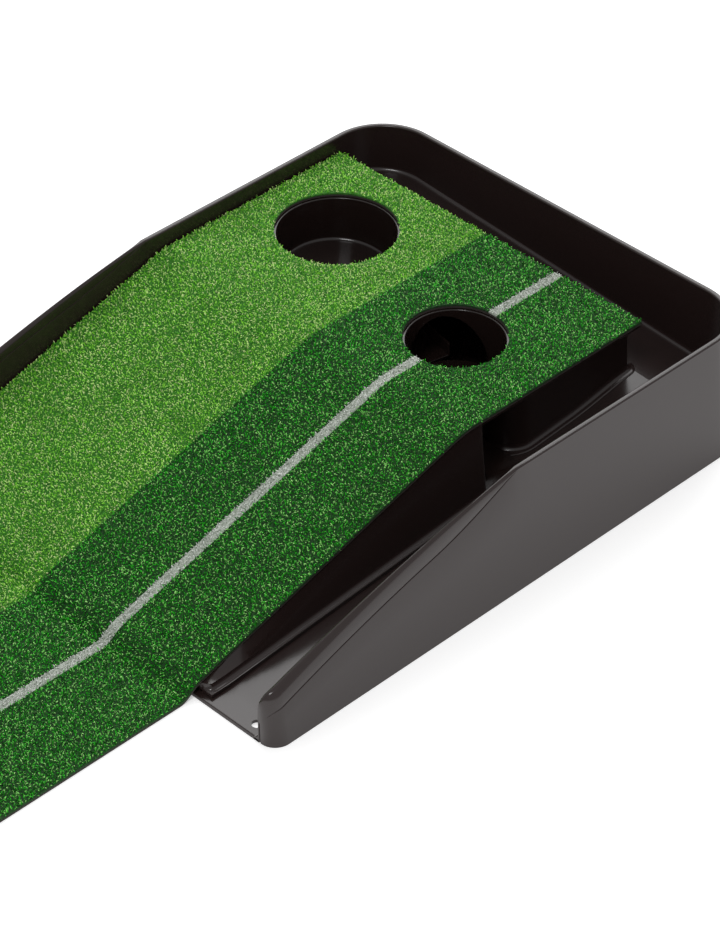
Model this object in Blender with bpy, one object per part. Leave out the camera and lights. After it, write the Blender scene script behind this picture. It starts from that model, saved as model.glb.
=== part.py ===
"""Practice putting mat: a two-speed turf laid over a two-cup ramp in a ball-return tray.

Frame: metres, +Z up. +X is the player's right when looking at the cups, +Y points
from the player to the cups. The origin is on the ground, in the middle of the
object's overall width and length.
"""
import math

import bmesh
import bpy
from mathutils import Matrix, Vector

# ---------------------------------------------------------------- driving sizes
MAT_WIDTH = 0.3556          # 14 in turf
MAT_LENGTH = 2.7432         # 9 ft of turf, measured along its surface
BACKING = 0.0017            # woven backing under the pile
PILE = 0.0047               # height of the pile
LINE_WIDTH = 0.009          # white aim line
SEAM = 0.0003               # gap that bonded or resting faces keep

DECK_HEIGHT = 0.0937        # top of the cup deck above the ground
DECK_PLATE = 0.003          # plate and skirt thickness of the ramp and the cup deck
RAMP_SLOPE = 0.288          # rise over run of the ramp
CREST_Y = -0.210            # where the deck bends down into the ramp, from the mat's rear edge
CREST_BLEND = 0.024         # length of the soft bend at the crest
RAMP_NOSE_Y = -0.499        # front edge of the ramp
DROP_RUN = 0.021            # run of the mat from the ramp's nose down to the ground

LARGE_CUP_RADIUS = 0.054    # regulation 108 mm hole
SMALL_CUP_RADIUS = 0.0438   # reduced training hole
LARGE_CUP_FLOOR = 0.0475    # height of the large cup's floor at its middle
SMALL_CUP_FLOOR = 0.0385    # height of the small cup's floor at its middle
LARGE_CUP_FALL = 0.067      # slopes of the cup floors, towards their outlets
SMALL_CUP_FALL = 0.040
LARGE_CUP = (-0.0958, -0.0852)   # cup centres, from the mat's middle and rear edge
SMALL_CUP = (0.0839, -0.1242)
CUP_WALL = 0.002
CUP_LIP = 0.005             # width of the cup's flange in the deck
CUP_LIP_DROP = 0.0018       # depth of the counterbore that takes the flange
CUP_LIP_THICKNESS = 0.0015
TROUGH_LIP = 0.012          # side walls of the ball troughs
PASSAGE_GAP = 0.0006        # between a trough's end and the cup
RUNNING = 0.0003            # clearance of every drop-in piece

RIM_HEIGHT = 0.1126         # tray rim above the ground
RIM_WIDTH = 0.005           # width of the rim along its level part
WALL_LEAN = 0.0131          # how far the outer face stands out at the ground
SKIN = 0.003                # plastic thickness of the tray
CORNER_RADIUS = 0.054       # rear corners of the rim, in plan
CATCH_DEPTH = 0.0544        # catch basin, from the mat's rear edge to the rear wall
CHANNEL_WIDTH = 0.070       # from the mat's right edge to the right wall
LEFT_CLEARANCE = 0.002      # between the mat's left edge and the left wall
TRAY_FRONT_Y = -0.505       # front edge of the tray, from the mat's rear edge
KINK_Y = -0.230             # where the rim starts to slope down
NOSE_HEIGHT = 0.0465        # height of the walls' front ends
RIM_EVEN_SHARE = 0.62       # share of the rim's drop that is even; the rest grows towards the nose
NOSE_RADIUS = 0.014         # vertical corner of the walls' front ends
SILL_DEPTH = 0.024          # flat sill at the front of the channel
CHANNEL_RISE = 0.0355       # fall of the channel, from the basin to the sill
BASIN_FALL = 0.067          # slope of the catch basin, down to the right
PEG_HOLE_RADIUS = 0.0045    # peg hole in the sill

GAP_REAR_Y = -0.1440        # front face of the cup deck's box
GAP_FRONT_Y = -0.1900       # rear end of the ramp's skirts
SKIRT_INSET = 0.012         # cup deck skirt under the mat's right edge
DECK_CORNER = 0.022         # rounded front right corner of the cup deck
FOOT_FLANGE = 0.0125        # how far the ramp's foot stands out in the channel
FOOT_THICKNESS = 0.0035
DECK_EDGE = 0.001           # how far the deck's edge stays back from the mat's edge
PEG_HOLE_INSET = 0.013      # peg hole, from the right wall
PEG_HOLE_SETBACK = 0.011    # peg hole, from the tray's front edge
MOUTH_WIDTH = 0.046         # ball passages under the deck
MOUTH_TOP = 0.006           # from the deck's top down to the top of a ball passage
OUTLET_ANGLE = -60          # direction in which the small cup's floor falls, to its outlet
CHUTE_EXIT = 0.030          # height of the return chute where it meets the channel
CHUTE_FALL = 0.050          # slope of the return chute
STRIPS = {"hook_strip_rear": -0.0145, "hook_strip_crest": -0.2320, "hook_strip_nose": -0.4700}
STRIP_CUT_ABOVE = 0.004     # how far a strip pocket's cutter stands above the deck
STRIP_WIDTH = 0.020         # hook strips that hold the mat down
STRIP_THICKNESS = 0.0012
STRIP_MARGIN = 0.014        # strip end to mat edge

# ---------------------------------------------------------------- derived places
HALF = MAT_WIDTH / 2
INNER_LEFT = -HALF - LEFT_CLEARANCE
INNER_RIGHT = HALF + CHANNEL_WIDTH
OUT_LEFT = INNER_LEFT - RIM_WIDTH - WALL_LEAN
OUT_RIGHT = INNER_RIGHT + RIM_WIDTH + WALL_LEAN
SHIFT_X = -(OUT_LEFT + OUT_RIGHT) / 2
OUT_REAR = CATCH_DEPTH + RIM_WIDTH + WALL_LEAN
UNDER = DECK_HEIGHT + SEAM                      # underside of the mat on the deck
RAMP_ANGLE = math.atan(RAMP_SLOPE)
NOSE_UNDER = UNDER - RAMP_SLOPE * (CREST_Y - RAMP_NOSE_Y)
FLOOR_MAT = MAT_LENGTH - (-CREST_Y) - (CREST_Y - RAMP_NOSE_Y) / math.cos(RAMP_ANGLE) - math.hypot(
    DROP_RUN, NOSE_UNDER)
MAT_FRONT_Y = RAMP_NOSE_Y - DROP_RUN - FLOOR_MAT
SHIFT_Y = -(OUT_REAR + MAT_FRONT_Y) / 2
BAND_X = HALF - 0.178                           # border between the fast and the slow turf
LINE_X = SMALL_CUP[0]
SILL_TOP = SKIN
LEDGE_INSET = SKIRT_INSET + 0.010               # left edge of the raised channel floor
BASIN_FRONT_Y = 0.0006                          # front edge of the basin's floor
PATH_STEPS = 6                                  # facets of a bend in the mat's path
DRUM_STEP = 5                                   # degrees per facet of a cup's wall
CUP_TOP = DECK_HEIGHT - CUP_LIP_DROP + CUP_LIP_THICKNESS
TUNNEL_RUN = (SMALL_CUP[0] - LARGE_CUP[0], SMALL_CUP[1] - LARGE_CUP[1])
TUNNEL_ANGLE = math.degrees(math.atan2(TUNNEL_RUN[1], TUNNEL_RUN[0]))
LARGE_SLOPE = (LARGE_CUP_FLOOR, LARGE_CUP_FALL, TUNNEL_ANGLE)
SMALL_SLOPE = (SMALL_CUP_FLOOR, SMALL_CUP_FALL, OUTLET_ANGLE)

parts = bpy.data.collections.new("practice_putting_mat")
cutters = bpy.data.collections.new("cutters")


def clear_scene():
    """Remove every object of the open file and link the two collections."""
    for old in list(bpy.data.objects):
        bpy.data.objects.remove(old, do_unlink=True)
    for collection in (parts, cutters):
        bpy.context.scene.collection.children.link(collection)


def finish(name, colour, roughness, metallic=0.0):
    """A plain plastic or textile finish."""
    material = bpy.data.materials.new(name)
    material.use_nodes = True
    shader = material.node_tree.nodes["Principled BSDF"]
    shader.inputs["Base Color"].default_value = (*colour, 1.0)
    shader.inputs["Roughness"].default_value = roughness
    shader.inputs["Metallic"].default_value = metallic
    return material


def new_object(name, bm, material=None):
    """Turn a bmesh into an object of the part, or into a cutter if it has no material."""
    bmesh.ops.recalc_face_normals(bm, faces=bm.faces)
    mesh = bpy.data.meshes.new(name)
    bm.to_mesh(mesh)
    bm.free()
    obj = bpy.data.objects.new(name, mesh)
    if material is None:
        obj.display_type = "WIRE"
        obj.hide_render = True
        cutters.objects.link(obj)
    else:
        mesh.materials.append(material)
        parts.objects.link(obj)
    return obj


def prism(outline, direction, name, material=None):
    """Extrude a closed outline of 3D points along a direction."""
    bm = bmesh.new()
    face = bm.faces.new([bm.verts.new(point) for point in outline])
    swept = bmesh.ops.extrude_face_region(bm, geom=[face])
    moved = [item for item in swept["geom"] if isinstance(item, bmesh.types.BMVert)]
    bmesh.ops.translate(bm, verts=moved, vec=direction)
    return new_object(name, bm, material)


def loft(rings, name, material=None):
    """Bridge rings with the same number of points and cap the two ends."""
    bm = bmesh.new()
    loops = [[bm.verts.new(point) for point in ring] for ring in rings]
    count = len(loops[0])
    for low, high in zip(loops, loops[1:]):
        for i in range(count):
            j = (i + 1) % count
            bm.faces.new((low[i], low[j], high[j], high[i]))
    bm.faces.new(list(reversed(loops[0])))
    bm.faces.new(loops[-1])
    return new_object(name, bm, material)


def box(low, high, name, material=None):
    """A box between two corners, given in the mat's own X and Y."""
    bm = bmesh.new()
    bmesh.ops.create_cube(bm, size=1.0)
    size = [high[i] - low[i] for i in range(3)]
    middle = [(high[i] + low[i]) / 2 for i in range(3)]
    bmesh.ops.scale(bm, vec=size, verts=bm.verts)
    bmesh.ops.translate(bm, verts=bm.verts, vec=place(*middle))
    return new_object(name, bm, material)


def drum(radius, bottom, top, centre, name, material=None, segments=96):
    """An upright cylinder."""
    bm = bmesh.new()
    bmesh.ops.create_cone(bm, cap_ends=True, segments=segments, radius1=radius, radius2=radius,
                          depth=top - bottom)
    bmesh.ops.translate(bm, verts=bm.verts, vec=place(centre[0], centre[1], (top + bottom) / 2))
    return new_object(name, bm, material)


def place(x, y, z):
    """From the mat's own X and Y (its middle and rear edge) to the part's frame."""
    return Vector((x + SHIFT_X, y + SHIFT_Y, z))


def combine(target, tool, operation="DIFFERENCE"):
    """Apply a Boolean of a cutter to an object and keep the result as its mesh."""
    modifier = target.modifiers.new(operation.lower(), "BOOLEAN")
    modifier.operation = operation
    modifier.solver = "EXACT"
    modifier.object = tool
    bpy.context.view_layer.update()
    depsgraph = bpy.context.evaluated_depsgraph_get()
    result = bpy.data.meshes.new_from_object(target.evaluated_get(depsgraph))
    target.modifiers.clear()
    old = target.data
    target.data = result
    bpy.data.meshes.remove(old)
    bpy.data.objects.remove(tool, do_unlink=True)
    return target


def arc(centre, radius, start, end, steps):
    """Points of a circular arc in plan, angles in degrees."""
    points = []
    for i in range(steps + 1):
        angle = math.radians(start + (end - start) * i / steps)
        points.append((centre[0] + radius * math.cos(angle), centre[1] + radius * math.sin(angle)))
    return points


# ---------------------------------------------------------------- tray
def basin_floor(x):
    """Height of the catch basin's floor, which falls to the right."""
    return SILL_TOP + CHANNEL_RISE + BASIN_FALL * (INNER_RIGHT - x)


def wall_outline(left, right, rear, front, radius, nose, z):
    """Plan outline of the tray at one height, front edge first, anticlockwise."""
    points = arc((right - nose, front + nose), nose, -90, 0, 6)
    points += arc((right - radius, rear - radius), radius, 0, 90, 14)
    points += arc((left + radius, rear - radius), radius, 90, 180, 14)
    points += arc((left + nose, front + nose), nose, 180, 270, 6)
    return [place(x, y, z) for x, y in points]


def tray_envelope(inset, name, material=None):
    """Outer form of the tray, pulled in by a distance on every side and at the top."""
    low = 0.0 if inset == 0.0 else -0.01
    radius = CORNER_RADIUS - inset
    lean_low = WALL_LEAN - WALL_LEAN / RIM_HEIGHT * low
    nose = NOSE_RADIUS - inset
    rings = []
    for z, lean in ((low, lean_low), (RIM_HEIGHT, 0.0)):
        rings.append(wall_outline(INNER_LEFT - RIM_WIDTH - lean + inset,
                                  INNER_RIGHT + RIM_WIDTH + lean - inset,
                                  CATCH_DEPTH + RIM_WIDTH + lean - inset,
                                  TRAY_FRONT_Y + inset, radius + lean, nose, z))
    body = loft(rings, name, material)
    return combine(body, rim_cut(inset, name + "_rim"))


def rim_height(y):
    """Height of the rim along the side walls: level, then a gentle convex slope."""
    if y >= KINK_Y:
        return RIM_HEIGHT
    run = (KINK_Y - y) / (KINK_Y - TRAY_FRONT_Y)
    drop = RIM_HEIGHT - NOSE_HEIGHT
    return RIM_HEIGHT - drop * (RIM_EVEN_SHARE * run + (1 - RIM_EVEN_SHARE) * run ** 2)


def rim_cut(inset, name):
    """Everything above the rim's side profile, over the whole width."""
    steps = 10
    ys = [KINK_Y + (TRAY_FRONT_Y - KINK_Y) * i / steps for i in range(steps + 1)]
    profile = [(CATCH_DEPTH + 0.2, RIM_HEIGHT - inset)]
    profile += [(y, rim_height(y) - inset) for y in ys]
    profile += [(TRAY_FRONT_Y - 0.1, NOSE_HEIGHT - inset - 0.03), (TRAY_FRONT_Y - 0.1, 0.3),
                (CATCH_DEPTH + 0.2, 0.3)]
    outline = [place(OUT_LEFT - 0.05, y, z) for y, z in profile]
    return prism(outline, Vector((OUT_RIGHT - OUT_LEFT + 0.1, 0, 0)), name)


def ball_space(grow, name):
    """The open space inside the walls: under the deck, the basin and the channel."""
    low = SILL_TOP if grow == 0.0 else -0.02
    top = 0.4
    left, right = INNER_LEFT - grow, INNER_RIGHT + grow
    rear = CATCH_DEPTH + grow
    front = TRAY_FRONT_Y - 0.05
    ledge = HALF - LEDGE_INSET + grow
    basin_front = BASIN_FRONT_Y + grow
    space = box((left, front, low), (ledge, basin_front, top), name)

    radius = CORNER_RADIUS - RIM_WIDTH + grow
    plan = arc((right - radius, rear - radius), radius, 0, 90, 14)
    plan += arc((left + radius, rear - radius), radius, 90, 180, 14)
    basin_low = basin_front - 0.010
    plan += [(left, basin_low), (right, basin_low)]
    basin = loft([[place(x, y, basin_floor(x) - grow) for x, y in plan],
                  [place(x, y, top) for x, y in plan]], name + "_basin")
    combine(space, basin, "UNION")

    sill_y = TRAY_FRONT_Y + SILL_DEPTH
    side = [(front, SILL_TOP - grow), (sill_y, SILL_TOP - grow), (0.0, SILL_TOP + CHANNEL_RISE - grow),
            (0.0, top), (front, top)]
    channel_low = ledge - 0.010
    outline = [place(channel_low, y, z) for y, z in side]
    channel = prism(outline, Vector((right - channel_low, 0, 0)), name + "_channel")
    return combine(space, channel, "UNION")


def make_tray(plastic):
    """Tray with hollow walls, ball channel, catch basin and front sill."""
    tray = tray_envelope(0.0, "tray", plastic)
    combine(tray, ball_space(0.0, "tray_inside"))
    hollow = tray_envelope(SKIN, "tray_hollow")
    combine(hollow, ball_space(SKIN, "tray_hollow_inside"))
    combine(tray, hollow)
    peg_place = (INNER_RIGHT - PEG_HOLE_INSET, TRAY_FRONT_Y + PEG_HOLE_SETBACK)
    return combine(tray, drum(PEG_HOLE_RADIUS, -0.02, 0.02, peg_place, "peg_hole", segments=24))


# ---------------------------------------------------------------- ramp and cup deck
def channel_floor(y):
    """Height of the channel's floor, level on the sill and then rising to the basin."""
    sill_y = TRAY_FRONT_Y + SILL_DEPTH
    return SILL_TOP + CHANNEL_RISE * max(0.0, (y - sill_y) / -sill_y)


def deck_top(y):
    """Top of the ramp and the deck at a distance from the mat's rear edge, with a soft crest."""
    start = CREST_Y + CREST_BLEND / 2
    if y >= start:
        return DECK_HEIGHT
    run = min(start - y, CREST_BLEND)
    drop = RAMP_SLOPE * run ** 2 / (2 * CREST_BLEND)
    return DECK_HEIGHT - drop - RAMP_SLOPE * max(0.0, start - CREST_BLEND - y)


def crest_points():
    """Places along the soft crest, from the level deck to the ramp."""
    return [CREST_Y + CREST_BLEND * (0.5 - i / PATH_STEPS) for i in range(PATH_STEPS + 1)]


def strip(outline, low, high, name, material=None):
    """A band across the width with a side outline of (y, z) points."""
    return prism([place(low, y, z) for y, z in outline], Vector((high - low, 0, 0)), name, material)


def make_ramp(plastic):
    """Wedge shell: sloping plate, two skirts, a nose and a foot flange in the channel."""
    left, right = -HALF, HALF - DECK_EDGE
    nose_z = deck_top(RAMP_NOSE_Y)
    crest = [(y, deck_top(y)) for y in reversed(crest_points())]
    outer = [(RAMP_NOSE_Y, nose_z)] + crest + [(GAP_FRONT_Y, DECK_HEIGHT),
             (GAP_FRONT_Y, SILL_TOP + RUNNING), (RAMP_NOSE_Y, SILL_TOP + RUNNING)]
    ramp = strip(outer, left, right, "ramp", plastic)
    drop = DECK_PLATE / math.cos(RAMP_ANGLE)
    inner = [(RAMP_NOSE_Y + DECK_PLATE, nose_z - drop), (CREST_Y, DECK_HEIGHT - DECK_PLATE),
             (GAP_FRONT_Y + 0.02, DECK_HEIGHT - DECK_PLATE), (GAP_FRONT_Y + 0.02, -0.02),
             (RAMP_NOSE_Y + DECK_PLATE, -0.02)]
    combine(ramp, strip(inner, left + DECK_PLATE, right - DECK_PLATE, "ramp_inside"))
    combine(ramp, channel_foot("ramp_foot", right - DECK_PLATE + RUNNING, HALF + FOOT_FLANGE), "UNION")
    combine(ramp, channel_solid(RUNNING, "ramp_foot_trim"))
    for name in ("hook_strip_crest", "hook_strip_nose"):
        combine(ramp, strip_pocket(STRIPS[name], name + "_pocket"))
    return ramp


def channel_foot(name, low, high):
    """Foot flange of the ramp that stands on the channel's floor."""
    front, rear = RAMP_NOSE_Y, GAP_FRONT_Y
    sill_y = TRAY_FRONT_Y + SILL_DEPTH
    top = FOOT_THICKNESS
    outline = [(front, channel_floor(front) + top), (sill_y, channel_floor(sill_y) + top),
               (rear, channel_floor(rear) + top), (rear, 0.0), (front, 0.0)]
    return strip(outline, low, high, name)


def channel_solid(lift, name):
    """The tray's channel as a solid block, raised by a clearance, to trim what stands on it."""
    front, rear = TRAY_FRONT_Y - 0.02, 0.02
    sill_y = TRAY_FRONT_Y + SILL_DEPTH
    outline = [(front, SILL_TOP + lift), (sill_y, SILL_TOP + lift), (rear, channel_floor(rear) + lift),
               (rear, -0.05), (front, -0.05)]
    return strip(outline, HALF - LEDGE_INSET - lift, INNER_RIGHT, name)


def strip_pocket(y, name):
    """Shallow pocket for a hook strip, along the slope of the deck at that place."""
    return strip_block(y, STRIP_THICKNESS + 2 * SEAM, RUNNING, STRIP_CUT_ABOVE, name)


def strip_block(y, depth, margin, above, name, material=None):
    """A flat block let into the deck: its middle line lies on the deck's surface at y."""
    bm = bmesh.new()
    bmesh.ops.create_cube(bm, size=1.0)
    length = MAT_WIDTH - 2 * STRIP_MARGIN
    bmesh.ops.scale(bm, vec=(length + 2 * margin, STRIP_WIDTH + 2 * margin, depth + above), verts=bm.verts)
    bmesh.ops.translate(bm, vec=(0, 0, (above - depth) / 2), verts=bm.verts)
    if y < CREST_Y:
        turn = Matrix.Rotation(RAMP_ANGLE, 3, "X")
        bmesh.ops.rotate(bm, verts=bm.verts, matrix=turn)
    bmesh.ops.translate(bm, verts=bm.verts, vec=place(0.0, y, deck_top(y)))
    return new_object(name, bm, material)


def deck_outline(inset, z):
    """Plan of the cup deck's box, with its rounded front right corner."""
    left, right = -HALF + DECK_EDGE + inset, HALF - SKIRT_INSET - inset
    front, rear = GAP_REAR_Y + inset, -DECK_PLATE - inset
    radius = DECK_CORNER - inset
    points = [(left, front)]
    points += arc((right - radius, front + radius), radius, -90, 0, 10)
    points += [(right, rear), (left, rear)]
    return [place(x, y, z) for x, y in points]


def make_cup_deck(plastic):
    """Box under a plate that also spans the ball passage, with two cup holes."""
    ceiling = DECK_HEIGHT - DECK_PLATE
    deck = box((-HALF, GAP_FRONT_Y + RUNNING, ceiling), (HALF - DECK_EDGE, -DECK_EDGE, DECK_HEIGHT),
               "cup_deck", plastic)
    low, high = SILL_TOP + RUNNING, DECK_HEIGHT - DECK_PLATE / 2
    combine(deck, loft([deck_outline(0.0, low), deck_outline(0.0, high)], "cup_deck_box"), "UNION")
    inside = loft([deck_outline(DECK_PLATE, -0.02), deck_outline(DECK_PLATE, ceiling)], "cup_deck_inside")
    combine(deck, inside)
    combine(deck, channel_solid(RUNNING, "cup_deck_trim"))
    cups = ((LARGE_CUP, LARGE_CUP_RADIUS, "large"), (SMALL_CUP, SMALL_CUP_RADIUS, "small"))
    for centre, radius, name in cups:
        combine(deck, drum(radius + RUNNING, 0.02, 0.12, centre, name + "_hole"))
        combine(deck, drum(radius + CUP_LIP + RUNNING, DECK_HEIGHT - CUP_LIP_DROP, 0.12, centre,
                           name + "_counterbore"))
    return combine(deck, strip_pocket(STRIPS["hook_strip_rear"], "hook_strip_rear_pocket"))


# ---------------------------------------------------------------- cups and ball passages
def cup_floor(centre, floor, fall, angle, x, y):
    """Height of a cup's floor, which falls in a plan direction given in degrees."""
    ux, uy = math.cos(math.radians(angle)), math.sin(math.radians(angle))
    return floor - fall * ((x - centre[0]) * ux + (y - centre[1]) * uy)


def sloped_drum(radius, centre, bottom, top, name, material=None):
    """An upright cylinder with a sloping bottom, given as a function of x and y."""
    plan = arc(centre, radius, 0, 360 - DRUM_STEP, 360 // DRUM_STEP - 1)
    rings = [[place(x, y, bottom(x, y)) for x, y in plan], [place(x, y, top) for x, y in plan]]
    return loft(rings, name, material)


def make_cup(name, plastic, centre, radius, slope, mouths):
    """Cup liner with a flange let into the deck, a sloping floor and ball mouths in its wall."""
    floor, fall, angle = slope

    def inside_floor(x, y):
        return cup_floor(centre, floor, fall, angle, x, y)

    cup = sloped_drum(radius, centre, lambda x, y: inside_floor(x, y) - CUP_WALL,
                      CUP_TOP - CUP_LIP_THICKNESS / 2, name, plastic)
    lip = drum(radius + CUP_LIP, CUP_TOP - CUP_LIP_THICKNESS + RUNNING, CUP_TOP, centre, name + "_lip")
    combine(cup, lip, "UNION")
    combine(cup, sloped_drum(radius - CUP_WALL, centre, inside_floor, CUP_TOP + 0.01, name + "_inside"))
    for index, (facing, low) in enumerate(mouths):
        combine(cup, mouth_block(centre, radius, facing, low, DECK_HEIGHT - MOUTH_TOP,
                                 "%s_mouth_%d" % (name, index)))
    return cup


def mouth_block(centre, radius, angle, low, high, name):
    """Cutter for a ball mouth in a cup's wall, facing a plan angle in degrees."""
    bm = bmesh.new()
    bmesh.ops.create_cube(bm, size=1.0)
    reach = radius + 0.01
    bmesh.ops.scale(bm, vec=(reach, MOUTH_WIDTH, high - low), verts=bm.verts)
    bmesh.ops.translate(bm, vec=(reach / 2, 0, (low + high) / 2), verts=bm.verts)
    bmesh.ops.rotate(bm, verts=bm.verts, matrix=Matrix.Rotation(math.radians(angle), 3, "Z"))
    bmesh.ops.translate(bm, verts=bm.verts, vec=place(centre[0], centre[1], 0.0))
    return new_object(name, bm)


def trough(start, end, name, material):
    """Sloping U-shaped ball trough between two floor points (x, y, z)."""
    begin, finish_point = place(*start), place(*end)
    along = finish_point - begin
    across = Vector((-along.y, along.x, 0.0)).normalized()
    half, wall, lip = MOUTH_WIDTH / 2, CUP_WALL, TROUGH_LIP
    section = [(-half - wall, -wall), (half + wall, -wall), (half + wall, lip), (half, lip), (half, 0.0),
               (-half, 0.0), (-half, lip), (-half - wall, lip)]
    outline = [begin + across * u + Vector((0, 0, w)) for u, w in section]
    return prism(outline, along, name, material)


def floor_at_wall(radius, slope, facing):
    """Height of a cup's floor where it meets the wall in a plan direction."""
    floor, fall, angle = slope
    return floor - fall * radius * math.cos(math.radians(facing - angle))


def make_tunnel(plastic):
    """Trough that leads a ball from the large cup to the small one."""
    length = math.hypot(*TUNNEL_RUN)
    ux, uy = TUNNEL_RUN[0] / length, TUNNEL_RUN[1] / length
    leave = LARGE_CUP_RADIUS + PASSAGE_GAP
    enter = length - SMALL_CUP_RADIUS - PASSAGE_GAP
    high = floor_at_wall(LARGE_CUP_RADIUS, LARGE_SLOPE, TUNNEL_ANGLE) - PASSAGE_GAP
    low = floor_at_wall(SMALL_CUP_RADIUS, SMALL_SLOPE, TUNNEL_ANGLE + 180) + PASSAGE_GAP
    start = (LARGE_CUP[0] + ux * leave, LARGE_CUP[1] + uy * leave, high)
    end = (LARGE_CUP[0] + ux * enter, LARGE_CUP[1] + uy * enter, low)
    return trough(start, end, "ball_tunnel", plastic)


def make_chute(plastic):
    """Hollow block under the passage whose top falls to the right, into the channel."""
    right = HALF - LEDGE_INSET - RUNNING
    left = SMALL_CUP[0] - MOUTH_WIDTH / 2 - CUP_WALL
    front, rear = GAP_FRONT_Y + 2 * RUNNING, GAP_REAR_Y - 2 * RUNNING
    foot = SILL_TOP + RUNNING
    rise = CHUTE_FALL * (right - left)
    outline = [(left, foot), (right, foot), (right, CHUTE_EXIT), (left, CHUTE_EXIT + rise)]
    depth = rear - front
    chute = prism([place(x, front, z) for x, z in outline], Vector((0, depth, 0)), "return_chute", plastic)
    wall = CUP_WALL
    under = [(left + wall, -0.02), (right - wall, -0.02), (right - wall, CHUTE_EXIT - wall),
             (left + wall, CHUTE_EXIT + rise - wall)]
    hollow = prism([place(x, front + wall, z) for x, z in under], Vector((0, depth - 2 * wall, 0)),
                   "chute_hollow")
    return combine(chute, hollow)


# ---------------------------------------------------------------- mat
def mat_path(lift):
    """Side path of a layer of the mat, at a distance above its underside."""
    points = [(0.0, UNDER + lift)]
    points += [(y, deck_top(y) + SEAM + lift) for y in crest_points()]
    start = deck_top(RAMP_NOSE_Y) + SEAM
    for i in range(PATH_STEPS + 1):
        t = i / PATH_STEPS
        fall = start * (2 * t ** 3 - 3 * t ** 2 + 1) - RAMP_SLOPE * DROP_RUN * (t ** 3 - 2 * t ** 2 + t)
        points.append((RAMP_NOSE_Y - DROP_RUN * t, fall + lift))
    points.append((MAT_FRONT_Y, lift))
    return points


def layer(low_x, high_x, bottom, top, name, material, rear=0.0, front=None):
    """A layer of the mat between two widths and two lifts above its underside."""
    below, above = mat_path(bottom), mat_path(top)
    outline = below + list(reversed(above))
    body = strip(outline, low_x, high_x, name, material)
    if rear < 0.0:
        combine(body, box((low_x - 0.01, rear, -0.1), (high_x + 0.01, 0.1, 0.3), name + "_rear_trim"))
    if front is not None:
        trim = box((low_x - 0.01, MAT_FRONT_Y - 0.1, -0.1), (high_x + 0.01, front, 0.3), name + "_front_trim")
        combine(body, trim)
    return body


def punch(body, cups):
    """Cut the cup holes through a layer of the mat."""
    for index, (centre, radius) in enumerate(cups):
        combine(body, drum(radius, 0.06, 0.16, centre, "%s_hole_%d" % (body.name, index)))


def make_mat(backing_finish, fast_finish, slow_finish, line_finish):
    """Backing, fast and slow pile, and the aim line on both sides of the small cup."""
    large, small = (LARGE_CUP, LARGE_CUP_RADIUS), (SMALL_CUP, SMALL_CUP_RADIUS)
    backing = layer(-HALF, HALF, 0.0, BACKING, "mat_backing", backing_finish)
    punch(backing, (large, small))
    low, high = BACKING + SEAM, BACKING + SEAM + PILE
    line_low, line_high = LINE_X - LINE_WIDTH / 2, LINE_X + LINE_WIDTH / 2
    fast = layer(-HALF, BAND_X - SEAM / 2, low, high, "fast_turf", fast_finish)
    punch(fast, (large,))
    inner = layer(BAND_X + SEAM / 2, line_low - SEAM, low, high, "slow_turf_inner", slow_finish)
    punch(inner, (small,))
    outer = layer(line_high + SEAM, HALF, low, high, "slow_turf_outer", slow_finish)
    punch(outer, (small,))
    reach = SMALL_CUP_RADIUS - 0.0002
    layer(line_low, line_high, low, high, "aim_line_front", line_finish, rear=SMALL_CUP[1] - reach)
    layer(line_low, line_high, low, high, "aim_line_rear", line_finish, front=SMALL_CUP[1] + reach)


def main():
    """Build every piece of the putting mat."""
    clear_scene()
    plastic = finish("tray_plastic", (0.030, 0.024, 0.023), 0.32)
    inner_plastic = finish("cup_plastic", (0.022, 0.018, 0.017), 0.36)
    backing_finish = finish("backing_rubber", (0.020, 0.030, 0.018), 0.9)
    fast_finish = finish("fast_turf_green", (0.110, 0.370, 0.053), 0.85)
    slow_finish = finish("slow_turf_green", (0.023, 0.135, 0.018), 0.85)
    line_finish = finish("aim_line_white", (0.80, 0.84, 0.78), 0.85)
    hook_finish = finish("hook_strip_black", (0.012, 0.012, 0.013), 0.8)
    make_tray(plastic)
    make_ramp(plastic)
    make_cup_deck(plastic)
    make_cup("large_cup", inner_plastic, LARGE_CUP, LARGE_CUP_RADIUS, LARGE_SLOPE,
             [(TUNNEL_ANGLE, floor_at_wall(LARGE_CUP_RADIUS, LARGE_SLOPE, TUNNEL_ANGLE))])
    outlet = floor_at_wall(SMALL_CUP_RADIUS, SMALL_SLOPE, OUTLET_ANGLE)
    inlet = floor_at_wall(SMALL_CUP_RADIUS, SMALL_SLOPE, TUNNEL_ANGLE + 180)
    make_cup("small_cup", inner_plastic, SMALL_CUP, SMALL_CUP_RADIUS, SMALL_SLOPE,
             [(TUNNEL_ANGLE + 180, inlet), (-90, outlet), (-45, outlet)])
    make_tunnel(inner_plastic)
    make_chute(inner_plastic)
    for name, y in STRIPS.items():
        strip_block(y, STRIP_THICKNESS + SEAM, 0.0, -SEAM, name, hook_finish)
    make_mat(backing_finish, fast_finish, slow_finish, line_finish)


if __name__ == "__main__":
    main()
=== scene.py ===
"""Looks of a practice putting mat: moulded tray, ramp, cup deck, cups and two-speed turf.

Everything is in metres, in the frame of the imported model: +X to the player's right, +Y from
the player to the cups, +Z up.
"""
import logging
import math
from dataclasses import dataclass
from enum import Enum

import bmesh
import bpy
import numpy as np
from mathutils import Matrix, Vector


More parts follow.
